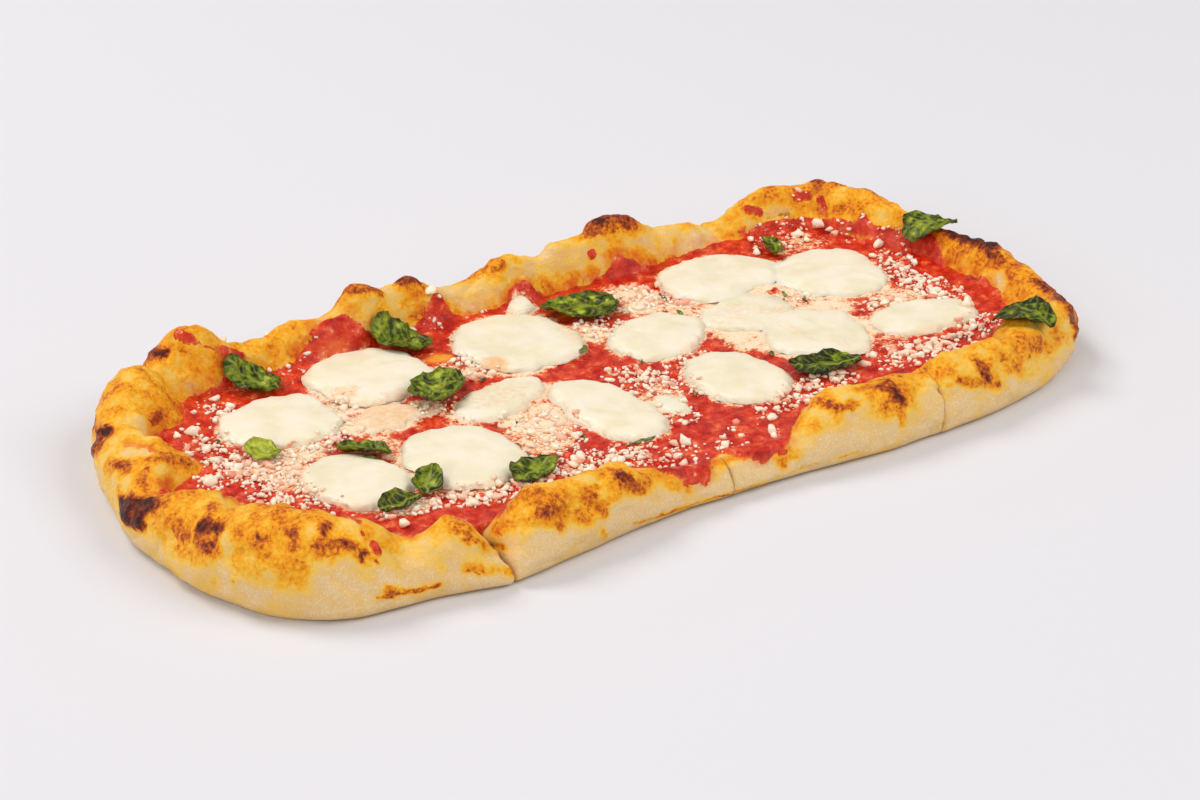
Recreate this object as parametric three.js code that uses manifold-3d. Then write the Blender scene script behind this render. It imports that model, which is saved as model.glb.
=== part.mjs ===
// Oblong margherita pizza: a puffy rim of baked dough round a flat base, tomato sauce with grated
// hard cheese, melted mozzarella and basil leaves. Units are millimetres and +Z is up.
// Places are measured from the near left corner of the base and moved to the middle at the end.

import * as THREE from 'three';
import Module from 'manifold-3d';

const wasm = await Module();
wasm.setup();

// Dough
const OUTLINE = [
  [-2.4, 77], [-1.8, 57], [3, 35], [13, 14.5], [31, 3], [54, 0.6], [80, -5.5], [110, -3], [140, 0.5], [166, 2],
  [190, 0.5], [215, -2], [247, -3], [280, 0], [306, 7], [327, 20], [337, 43], [337, 80], [333, 115],
  [325, 143], [306, 158], [275, 160], [227, 160], [180, 159], [130, 159], [85, 158], [55, 160],
  [32, 156], [15, 139], [4.8, 115], [0.4, 94],
];
const BASE_TOP = 8.5;
const RIM_HEIGHT = 20;
const RIM_WIDTH = 19;
const CREST_AT = 0.42;
const WIDEST_AT = 0.3;
const UNDERCUT = 4.5;
const STATION_STEP = 6;
const SPINE = { y: 77, from: 80, to: 250 };
const MIDDLE = [165, 76];

// Puffs and dips along the rim: place x and y, reach along the rim, extra height, extra width
const PUFFS = [
  [2, 108, 24, 2, 15],
  [-4, 77, 10, -4, -2],
  [-3, 56, 26, 3, 18],
  [8, 24, 28, 8, 24],
  [20, 9, 12, 3.5, 2],
  [31, 3, 28, 6, 16],
  [49, 1, 12, -5.5, 0],
  [70, -4, 18, 2.5, 8],
  [96, -5, 22, 4, 10],
  [122, -2, 18, 3, 6],
  [134, 0, 9, -2.5, 0],
  [154, 1, 24, -8.5, -7],
  [170, 2, 13, -2.5, -1],
  [184, 1, 24, -9, -6],
  [212, -2, 18, 2.5, 8],
  [228, -3, 14, 2.5, 8],
  [243, -3, 14, 0, 6],
  [256, -2, 12, 2, 4],
  [274, -1, 28, 2.5, 7],
  [312, 11, 30, 1.5, 10],
  [332, 34, 24, -1.5, 8],
  [337, 66, 30, 1, 0],
  [328, 132, 30, 6, 7],
  [316, 149, 11, 4.5, 0],
  [300, 159, 28, 6.5, 6],
  [268, 160, 18, -4, -1],
  [225, 160, 20, 10, 1],
  [204, 160, 16, 5.5, 0],
  [178, 159, 18, 7, 0],
  [141, 159, 9, 7.5, 0],
  [133, 159, 9, 4.5, 0],
  [120, 159, 15, 8.5, 1],
  [114, 159, 8, 3, 0],
  [94, 158, 16, 5, 0],
  [57, 160, 19, 8.5, 3],
  [49, 160, 14, 6, 0],
  [34, 157, 8, -4, 0],
  [24, 149, 34, 7.2, 12],
];

// Sauce that has run up the rim: place x and y, reach along the rim, distance
const SPILLS = [
  [52, 1, 12, 7],
  [150, 2, 24, 7],
  [182, 1, 20, 6],
  [332, 103, 24, 6],
  [146, 160, 12, 4],
  [222, 160, 14, 2],
  [180, 159, 10, 4],
  [106, 159, 18, 8],
  [64, 160, 7, 5],
  [-5, 79, 8, 6],
];

// Knife cuts through the near rim: place x, width, share of the rim's width that stays free of sauce,
// then how far the left and the right slice sink beside it and over which length
const CUTS = [
  [81, 1.4, 0.9, 13, 14, 8.5, 9],
  [166, 0.7, 0.75, 0.5, 20, 0, 10],
  [247, 0.6, 0.9, 0, 10, 1.5, 8],
];

// Toppings
const GAP = 0.35;
const SAUCE_LEVEL = 11.5;
const SAUCE_FILM = 1.3;
const SAUCE_BED = BASE_TOP + GAP + 0.1;

// Mozzarella: middle x and y, half length, half width, turn in degrees, thickness, three sided share.
// The rows of one list have melted into one piece.
const MOZZARELLA = [
  [[65, 107.5, 19.5, 17.5, 0, 2.6, -0.06]],
  [[105, 119.5, 19.5, 20, 108, 2.7, 0.03]],
  [[159, 115, 22.6, 20, 96, 2.7, 0.04]],
  [[94.5, 90.5, 11, 8, -8, 1.8, 0.05]],
  [[130.5, 82, 18.5, 10, 16, 2.1, 0.04]],
  [[64.5, 58, 18, 14.2, 106, 3, 0.03]],
  [[99.5, 54.5, 21.5, 18.5, 94, 3, 0.02]],
  [[155.5, 56, 25.5, 12.2, 94, 3, 0.02]],
  [[201, 92, 18.5, 15, 24, 2.7, 0.03]],
  [[203.5, 51.5, 19.4, 15.4, 88, 3, 0.03]],
  [
    [247.5, 119.5, 23, 18, 4, 2.7, 0.03],
    [281, 100, 21, 19.5, 70, 2.7, 0.04],
    [237.5, 90.5, 17.5, 12.5, 10, 2.4, 0.04],
    [247, 64.5, 20.5, 18.5, 60, 2.9, 0.05],
  ],
  [[285, 54.5, 19.5, 11.6, -8, 2.4, 0.06]],
  [[176.5, 137, 5.6, 4, 20, 2.6, 0.08]],
  [[174.5, 48, 8, 4.2, 82, 1.4, 0.05]],
];
const MOZZARELLA_STATIONS = 16;

// Basil: middle x and y, half length, half width, turn in degrees, lift, fold, curl
const BASIL = [
  [70.4, 135.2, 8.4, 6.8, 123, 0.5, 0.5, 0.3],
  [125.4, 133.4, 9, 8.8, 126, 0.5, 0.6, 0.3],
  [190.5, 123.6, 13.5, 10.4, 157, 0.6, 1, 1.2],
  [117, 95.8, 12, 8.6, 32, 0.8, 1.2, 1.6],
  [49.5, 90.4, 5.8, 4.2, 115, 0.3, 0.4, 0.3],
  [75.8, 73.8, 7.6, 5, 125, 0.3, 0.5, 0.4],
  [80.6, 43, 6, 4.2, 54, 0.4, 0.6, 0.4],
  [67.3, 37.5, 6.8, 3.3, 2, 0.3, 0.6, 0.4],
  [112.5, 32.4, 9.8, 4.6, 20, 0.3, 0.8, 0.6],
  [232, 40.2, 12.2, 6.8, -17, 0.5, 0.8, 0.8],
  [301, 19.5, 11.5, 8.4, -90, 0.5, 0.6, 0.6],
  [326.5, 98.5, 9.5, 7.6, -20, 0.5, 1, 1],
  [278.5, 129, 8.5, 2.8, 66, 0.3, 0.6, 0.5],
];
const LEAF_THICKNESS = 0.7;
const LEAF_STATIONS = 14;

// Grated cheese: middle x and y of a scatter, half length, half width, number of crumbs
const CRUMB_FIELDS = [
  [40, 98, 13, 24, 10],
  [50, 84, 14, 8, 6],
  [112, 26, 26, 6, 7],
  [150, 20, 16, 8, 5],
  [130, 50, 8, 16, 4],
  [180, 66, 8, 20, 6],
  [186, 26, 22, 8, 4],
  [214, 120, 10, 12, 5],
  [272, 34, 24, 9, 6],
  [308, 62, 8, 22, 6],
  [305, 110, 10, 22, 5],
  [288, 140, 16, 6, 4],
];
const CRUMB_SIZE = [1, 2.1];

const LOOKS = {
  crust: ['#e2ae5e', 0.72],
  sauce: ['#c22a1c', 0.3],
  mozzarella: ['#f3ead2', 0.38],
  basil: ['#2c5a1c', 0.45],
};

let seed = 20731;
function random() {
  seed = (seed * 1103515245 + 12345) % 2147483648;
  return seed / 2147483648;
}

function hash(i, j, k) {
  const value = Math.sin(i * 127.1 + j * 311.7 + k * 74.7) * 43758.5453;
  return value - Math.floor(value);
}

// Smooth bumps between -1 and 1 with a size of about one unit
function noise(x, y, z) {
  const cell = [Math.floor(x), Math.floor(y), Math.floor(z)];
  const part = [x - cell[0], y - cell[1], z - cell[2]].map((f) => f * f * (3 - 2 * f));
  let sum = 0;
  for (let corner = 0; corner < 8; corner += 1) {
    const step = [corner & 1, (corner >> 1) & 1, (corner >> 2) & 1];
    const share = step.reduce((product, on, axis) => product * (on ? part[axis] : 1 - part[axis]), 1);
    sum += share * hash(cell[0] + step[0], cell[1] + step[1], cell[2] + step[2]);
  }
  return sum * 2 - 1;
}

const bump = (u) => (Math.abs(u) < 1 ? Math.cos((Math.PI * u) / 2) ** 2 : 0);
const mix = (a, b, share) => a.map((value, axis) => value + (b[axis] - value) * share);

// Widest line of the dough, walked from the left side past the near side
const outline = new THREE.CatmullRomCurve3(OUTLINE.map(([x, y]) => new THREE.Vector3(x, y, 0)), true);
outline.arcLengthDivisions = 1200;
const around = outline.getLength();
const samples = outline.getSpacedPoints(1200);

function arcOf(x, y) {
  let best = 0;
  samples.forEach((point, index) => {
    if (Math.hypot(point.x - x, point.y - y) < Math.hypot(samples[best].x - x, samples[best].y - y)) {
      best = index;
    }
  });
  return (best / 1200) * around;
}

function alongRim(rows) {
  return rows.map(([x, y, ...rest]) => [arcOf(x, y), ...rest]);
}

const puffs = alongRim(PUFFS);
const spills = alongRim(SPILLS);

function added(rows, arc, column) {
  return rows.reduce((sum, row) => {
    const apart = Math.abs(arc - row[0]);
    return sum + row[column] * bump(Math.min(apart, around - apart) / row[1]);
  }, 0);
}

// Height and run of the rim across its width, from the inner foot over the crest to the resting edge
function rimSection(width, height) {
  const crest = CREST_AT * width;
  const widest = WIDEST_AT * height;
  const rows = [];
  for (const share of [1, 0.8, 0.6, 0.4, 0.2, 0]) {
    const z = BASE_TOP + (height - BASE_TOP) * Math.cos((Math.PI / 2) * share) ** 1.25;
    rows.push([crest + (width - crest) * share, share === 1 ? BASE_TOP : z]);
  }
  for (const angle of [68, 47, 27, 8]) {
    const turn = THREE.MathUtils.degToRad(angle);
    rows.push([crest * (1 - Math.cos(turn)), widest + (height - widest) * Math.sin(turn)]);
  }
  for (const angle of [22, 56, 90]) {
    const turn = THREE.MathUtils.degToRad(angle);
    rows.push([UNDERCUT * (1 - Math.cos(turn)), widest * (1 - Math.sin(turn))]);
  }
  return rows;
}

function station(arc, side, cut) {
  const at = outline.getPointAt(((arc % around) + around) % around / around);
  const spine = [THREE.MathUtils.clamp(at.x, SPINE.from, SPINE.to), SPINE.y];
  const run = Math.hypot(spine[0] - at.x, spine[1] - at.y);
  const inward = [(spine[0] - at.x) / run, (spine[1] - at.y) / run];
  const width = RIM_WIDTH + added(puffs, arc, 3);
  let height = RIM_HEIGHT + added(puffs, arc, 2);
  CUTS.forEach(([x, , , leftSink, leftReach, rightSink, rightReach], index) => {
    const left = side === index || (side === undefined && at.x < x);
    const sunk = left ? leftSink * bump((at.x - x) / leftReach) : rightSink * bump((at.x - x) / rightReach);
    height -= at.y < 20 ? sunk : 0;
  });
  const rows = rimSection(width, height);
  const last = rows.length - 1;
  const shaped = rows.map(([t, z], index) => {
    const before = rows[Math.max(index - 1, 0)];
    const after = rows[Math.min(index + 1, last)];
    const slope = Math.hypot(after[0] - before[0], after[1] - before[1]) || 1;
    const place = [at.x + inward[0] * t, at.y + inward[1] * t, z];
    const rough = noise(place[0] / 15, place[1] / 15, z / 13) + 0.5 * noise(place[0] / 6, place[1] / 6, z / 6);
    const relief = index === 0 || index === last ? 0 : rough;
    const outT = (after[1] - before[1]) / slope;
    const outZ = (before[0] - after[0]) / slope;
    return [t + relief * outT, z + relief * outZ];
  });
  const wall = 0.86 * width;
  const top = profileHeight(shaped, wall);
  const cleft = shaped.filter((row) => row[0] < wall).length;
  const fall = (index) => (top * (last - index)) / cleft;
  const profile = shaped.map(([t, z], index) => (cut && t < wall ? [wall, fall(index)] : [t, z]));
  return { at, inward, width, height, profile, shaped, cut };
}

// Height of a rim profile at the distance t from the widest line, on its upper side
function profileHeight(profile, t) {
  for (let index = 0; index < 9; index += 1) {
    const [t0, z0] = profile[index];
    const [t1, z1] = profile[index + 1];
    if (t <= t0 && t >= t1) {
      return z1 + ((z0 - z1) * (t - t1)) / (t0 - t1 || 1);
    }
  }
  return BASE_TOP;
}

function stations() {
  const arcs = [];
  const cutArcs = CUTS.map(([x]) => arcOf(x, 0));
  const count = Math.round(around / STATION_STEP);
  for (let index = 0; index < count; index += 1) {
    const arc = (index / count) * around;
    if (cutArcs.every((cutArc) => Math.abs(arc - cutArc) > 2.6)) {
      arcs.push({ arc });
    }
  }
  cutArcs.forEach((cutArc, index) => {
    const half = CUTS[index][1] / 2;
    const free = CUTS[index][2];
    arcs.push({ arc: cutArc - half, side: index, free });
    arcs.push({ arc: cutArc, side: index, free, cut: true });
    arcs.push({ arc: cutArc + half, side: -1, free });
  });
  arcs.sort((a, b) => a.arc - b.arc);
  return arcs.map(({ arc, side, free, cut }) => ({ arc, free, ...station(arc, side, cut) }));
}

const rim = stations();

// Closed solid from a first point, rings of equal length and a last point
function shell(first, rings, last) {
  const count = rings[0].length;
  const points = [first, ...rings.flat(), last];
  const faces = [];
  for (let index = 0; index < count; index += 1) {
    const next = (index + 1) % count;
    faces.push(0, 1 + index, 1 + next);
    for (let ring = 0; ring < rings.length - 1; ring += 1) {
      const a = 1 + ring * count;
      const b = a + count;
      faces.push(a + index, b + index, b + next, a + index, b + next, a + next);
    }
    const end = 1 + (rings.length - 1) * count;
    faces.push(end + index, points.length - 1, end + next);
  }
  const geometry = new THREE.BufferGeometry();
  geometry.setAttribute('position', new THREE.Float32BufferAttribute(points.flat(), 3));
  geometry.setIndex(faces);
  return geometry;
}

function rimPoint(one, [t, z]) {
  return [one.at.x + one.inward[0] * t, one.at.y + one.inward[1] * t, z];
}

function crustShape() {
  const rings = rim[0].profile.map((_, row) => rim.map((one) => rimPoint(one, one.profile[row])));
  return shell([...MIDDLE, BASE_TOP], rings, [...MIDDLE, 0]);
}

function sauceTop(x, y) {
  return SAUCE_LEVEL + 0.5 * noise(x / 17, y / 17, 3) + 0.25 * noise(x / 8, y / 8, 7);
}

// Sauce lies level on the base, climbs the rim as a film and ends at a thin edge
function sauceShape() {
  const rings = Array.from({ length: 10 }, () => []);
  for (const one of rim) {
    const knees = [5, 3, 1].map((row) => one.shaped[row][0]);
    let fill = one.width - 1;
    while (profileHeight(one.shaped, fill) < SAUCE_LEVEL && fill > knees[0]) {
      fill -= 0.25;
    }
    const spilt = Math.max(fill - added(spills, one.arc, 2), 2.5);
    const edge = one.free === undefined ? spilt : Math.max(spilt, one.free * one.width);
    const ground = (t, film) => rimPoint(one, [t, profileHeight(one.shaped, t) + GAP + film]);
    const raise = ([x, y, z], film) => [x, y, Math.max(z + film, sauceTop(x, y))];
    const foot = rimPoint(one, [one.width, SAUCE_BED]);
    rings[0].push(raise(mix(foot, [...MIDDLE, 0], 0.5), 1));
    rings[1].push(raise(foot, 1));
    rings[5].push(ground(edge, 0.6));
    rings[9].push(foot);
    knees.forEach((knee, index) => {
      const place = ground(Math.max(knee, edge + ((index + 1) * (one.width - edge)) / 5), 0.3);
      rings[4 - index].push(raise(place, SAUCE_FILM));
      rings[6 + index].push(place);
    });
  }
  return shell([...MIDDLE, sauceTop(...MIDDLE)], rings, [...MIDDLE, SAUCE_BED]);
}

// Top of the solids below at one place
function heightOn(geometries, x, y) {
  let highest = -Infinity;
  for (const geometry of geometries) {
    const place = geometry.getAttribute('position');
    const faces = geometry.index.array;
    for (let index = 0; index < faces.length; index += 3) {
      const [a, b, c] = [faces[index], faces[index + 1], faces[index + 2]];
      const [ax, ay] = [place.getX(a), place.getY(a)];
      const [bx, by] = [place.getX(b) - ax, place.getY(b) - ay];
      const [cx, cy] = [place.getX(c) - ax, place.getY(c) - ay];
      const area = bx * cy - by * cx;
      const u = ((x - ax) * cy - (y - ay) * cx) / area;
      const v = (bx * (y - ay) - by * (x - ax)) / area;
      if (area > 1e-9 && u >= 0 && v >= 0 && u + v <= 1) {
        const z = place.getZ(a) * (1 - u - v) + place.getZ(b) * u + place.getZ(c) * v;
        highest = Math.max(highest, z);
      }
    }
  }
  return highest;
}

function support(below, x, y, reach) {
  let highest = heightOn(below, x, y);
  for (let step = 0; step < 8; step += 1) {
    const turn = (step / 8) * 2 * Math.PI;
    const z = heightOn(below, x + reach * Math.cos(turn), y + reach * Math.sin(turn));
    highest = Math.max(highest, z);
  }
  return highest + GAP;
}

// Soft pad of melted cheese with a round edge
function padShape(below, [x, y, long, wide, turn, thick, corners], number) {
  const axis = THREE.MathUtils.degToRad(turn);
  const place = (share, index) => {
    const angle = (index / MOZZARELLA_STATIONS) * 2 * Math.PI;
    const lobe = 1 + corners * Math.cos(3 * angle) + 0.045 * noise(angle * 1.6, number * 3.1, 5);
    const u = long * share * lobe * Math.sign(Math.cos(angle)) * Math.abs(Math.cos(angle)) ** 0.86;
    const v = wide * share * lobe * Math.sign(Math.sin(angle)) * Math.abs(Math.sin(angle)) ** 0.86;
    return [x + u * Math.cos(axis) - v * Math.sin(axis), y + u * Math.sin(axis) + v * Math.cos(axis)];
  };
  const ring = (share, lift, bottom) => Array.from({ length: MOZZARELLA_STATIONS }, (_, index) => {
    const [px, py] = place(share, index);
    const [bx, by] = place(bottom, index);
    return [px, py, support(below, bx, by, 2.6) + lift];
  });
  const middle = support(below, x, y, 0.3 * wide);
  const wave = 0.25 * noise(x / 5, y / 5, 11);
  const rings = [
    ring(0.5, thick * (0.96 + wave), 0.5),
    ring(0.86, thick * 0.76, 0.86),
    ring(1, thick * 0.3, 0.86),
    ring(0.86, 0, 0.86),
    ring(0.5, 0, 0.5),
  ];
  return shell([x, y, middle + thick], rings, [x, y, middle]);
}

// Thin wavy leaf, folded along its midrib, with both faces divided alike
function leafShape(below, [x, y, long, wide, turn, lift, fold, curl], number) {
  const axis = THREE.MathUtils.degToRad(turn);
  const face = (share, raise) => Array.from({ length: LEAF_STATIONS }, (_, index) => {
    const angle = (index / LEAF_STATIONS) * 2 * Math.PI;
    const u = share * Math.cos(angle);
    const v = share * Math.sin(angle) * (1 - 0.28 * Math.cos(angle)) * (0.9 + 0.1 * Math.abs(u));
    const px = x + long * u * Math.cos(axis) - wide * v * Math.sin(axis);
    const py = y + long * u * Math.sin(axis) + wide * v * Math.cos(axis);
    const wave = 0.8 * share * noise(angle * 2.2, number * 2.7, share);
    const shaped = lift + fold * Math.abs(v) + curl * u * u + Math.abs(wave);
    return [px, py, support(below, px, py, 2.4) + shaped + raise];
  });
  const middle = support(below, x, y, 0.4 * wide) + lift;
  const rings = [
    face(0.55, LEAF_THICKNESS),
    face(1, LEAF_THICKNESS),
    face(1, 0),
    face(0.55, 0),
  ];
  return shell([x, y, middle + LEAF_THICKNESS], rings, [x, y, middle]);
}

function solid(geometry) {
  return new wasm.Manifold(new wasm.Mesh({
    numProp: 3,
    vertProperties: new Float32Array(geometry.getAttribute('position').array),
    triVerts: new Uint32Array(geometry.index.array),
  }));
}

function largestPiece(whole) {
  const pieces = whole.decompose().sort((a, b) => b.volume() - a.volume());
  const mesh = pieces[0].getMesh();
  const geometry = new THREE.BufferGeometry();
  geometry.setAttribute('position', new THREE.BufferAttribute(mesh.vertProperties, 3));
  geometry.setIndex(new THREE.BufferAttribute(mesh.triVerts, 1));
  return geometry;
}

function joined(geometries) {
  return largestPiece(geometries.map(solid).reduce((sum, next) => sum.add(next)));
}

// What is left of a solid that lies on the dough once the dough and a small gap are taken away
function clearOfDough(geometry) {
  return largestPiece(solid(geometry).subtract(solid(crust).translate([0, 0, GAP])));
}

function crumbShape(x, y, z, size) {
  const geometry = new THREE.OctahedronGeometry(1, 0);
  const place = geometry.getAttribute('position');
  const turn = random() * 6;
  const stretch = 0.8 + 0.5 * random();
  const known = new Map();
  const points = [];
  const faces = [];
  for (let index = 0; index < place.count; index += 1) {
    const [a, b, c] = [place.getX(index), place.getY(index), place.getZ(index)];
    const key = [a, b, c].map((value) => value.toFixed(4)).join();
    if (!known.has(key)) {
      known.set(key, points.length);
      const u = a * size * stretch;
      const v = b * size;
      points.push([
        x + u * Math.cos(turn) - v * Math.sin(turn),
        y + u * Math.sin(turn) + v * Math.cos(turn),
        z + 0.75 * c * size,
      ]);
    }
    faces.push(known.get(key));
  }
  const crumb = new THREE.BufferGeometry();
  crumb.setAttribute('position', new THREE.Float32BufferAttribute(points.flat(), 3));
  crumb.setIndex(faces);
  return crumb;
}

// Crumbs are thrown field by field and kept where they meet neither a topping nor another crumb
function crumbShapes(ground, toppings) {
  const kept = [];
  for (const [x, y, long, wide, count] of CRUMB_FIELDS) {
    let placed = 0;
    for (let attempt = 0; attempt < 40 * count && placed < count; attempt += 1) {
      const turn = random() * 2 * Math.PI;
      const far = Math.sqrt(random());
      const [px, py] = [x + long * far * Math.cos(turn), y + wide * far * Math.sin(turn)];
      const size = CRUMB_SIZE[0] + (CRUMB_SIZE[1] - CRUMB_SIZE[0]) * random() ** 2;
      const clear = kept.every((one) => Math.hypot(one.x - px, one.y - py) > one.size + size + 0.8)
        && support(toppings, px, py, size + 0.9) === -Infinity;
      const z = heightOn([ground], px, py);
      if (clear && z > 0 && support([crust], px, py, size) < z - 0.45 * size) {
        kept.push({ x: px, y: py, z: z + 0.3 * size, size });
        placed += 1;
      }
    }
  }
  return kept.map((one) => crumbShape(one.x, one.y, one.z, one.size));
}

const pizza = new THREE.Group();
pizza.name = 'margherita_pizza';

function add(name, geometry, look) {
  const [colour, roughness] = LOOKS[look];
  const material = new THREE.MeshStandardMaterial({ color: colour, roughness, metalness: 0 });
  const placed = geometry.clone();
  placed.computeVertexNormals();
  const mesh = new THREE.Mesh(placed, material);
  mesh.name = name;
  mesh.position.set(-middle.x, -middle.y, 0);
  pizza.add(mesh);
}

const crust = crustShape();
const sauce = clearOfDough(sauceShape());
const below = [crust, sauce];
crust.computeBoundingBox();
const middle = crust.boundingBox.getCenter(new THREE.Vector3());
const cheeses = MOZZARELLA.map((rows, index) => {
  const pads = rows.map((row, part) => padShape(below, row, index * 5 + part));
  return pads.length > 1 ? joined(pads) : pads[0];
});
const leaves = [];
BASIL.forEach((row, index) => {
  leaves.push(leafShape([...below, ...cheeses, ...leaves], row, index));
});

add('crust', crust, 'crust');
add('sauce', joined([sauce, ...crumbShapes(sauce, [...cheeses, ...leaves])]), 'sauce');
const digits = (index) => String(index + 1).padStart(2, '0');
cheeses.forEach((geometry, index) => add(`mozzarella_${digits(index)}`, geometry, 'mozzarella'));
leaves.forEach((geometry, index) => add(`basil_${digits(index)}`, geometry, 'basil'));

export default pizza;
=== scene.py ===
"""Looks of an oblong margherita pizza: baked dough, tomato sauce, mozzarella, basil and grated cheese.

Places in the tables are millimetres from the near left corner of the dough, as in the part's own source.
"""

import math
import random

import bmesh
import bpy
import numpy as np
from mathutils import Matrix, Vector, noise
from mathutils.bvhtree import BVHTree


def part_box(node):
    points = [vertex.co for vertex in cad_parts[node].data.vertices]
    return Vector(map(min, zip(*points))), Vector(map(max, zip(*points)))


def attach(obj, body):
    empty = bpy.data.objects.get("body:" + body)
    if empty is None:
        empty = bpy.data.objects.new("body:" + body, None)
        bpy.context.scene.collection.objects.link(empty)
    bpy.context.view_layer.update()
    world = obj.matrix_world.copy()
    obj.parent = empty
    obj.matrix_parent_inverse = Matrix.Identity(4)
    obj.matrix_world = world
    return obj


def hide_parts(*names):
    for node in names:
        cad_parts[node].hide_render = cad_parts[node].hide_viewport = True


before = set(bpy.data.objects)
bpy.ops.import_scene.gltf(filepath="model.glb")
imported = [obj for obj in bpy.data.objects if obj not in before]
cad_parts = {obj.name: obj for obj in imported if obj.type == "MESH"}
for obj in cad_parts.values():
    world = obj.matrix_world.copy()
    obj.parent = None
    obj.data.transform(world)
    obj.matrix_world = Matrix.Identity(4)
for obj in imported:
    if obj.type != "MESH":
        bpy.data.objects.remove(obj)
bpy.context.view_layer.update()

MM = 0.001
CORNER = Vector((-0.16755, -0.07783, 0))
ABOVE = 80
DOWN = Vector((0, 0, -1))

# Dough: edges sharper than this stay sharp, as those of the knife cuts do, and millimetre cell of its underside
CRISP = math.radians(62)
UNDERSIDE_CELL = 5

# Sauce in millimetres: cell of its grid, height of its pool, film on the rim, how deep in the dough it ends,
# how softly the film meets the pool, the lowest dough that it lies on, and height of its hidden underside
GRID_STEP = 0.8
LEVEL = 11.2
FILM = 1.2
FILM_SUNK = -1.1
SOFT = 1.2
LOWEST_DOUGH = 6.5
SAUCE_BED = 7.5

# What the soft division takes off an outline, in millimetres, and how many times as much widens a pad
WIDER = 1.1
PAD_TIMES = 1.5

# Pads: how far the border sinks and how much less the middle does, in millimetres, and how much of its height
# the middle keeps
PAD_SUNK = 1.1
PAD_RISE = 0.85
PAD_HEIGHT = 0.85

# Grated cheese: lowest place of a scattered crumb, and the share that stays on bare dough and on pads
LOWEST_CRUMB = LEVEL - 2
ON_DOUGH = 0.08
ON_PADS = 0.02

MOZZARELLA = sorted(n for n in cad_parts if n.startswith("mozzarella"))
BASIL = sorted(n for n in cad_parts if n.startswith("basil"))

# The photograph's camera: its place in metres, the way it looks, and its lens for a sensor 36 mm wide
CAMERA_PLACE = (-0.4756, -0.6907, 0.4163)
CAMERA_FORWARD = (0.50882, 0.73878, -0.44194)
CAMERA_LENS = 85.25

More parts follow.
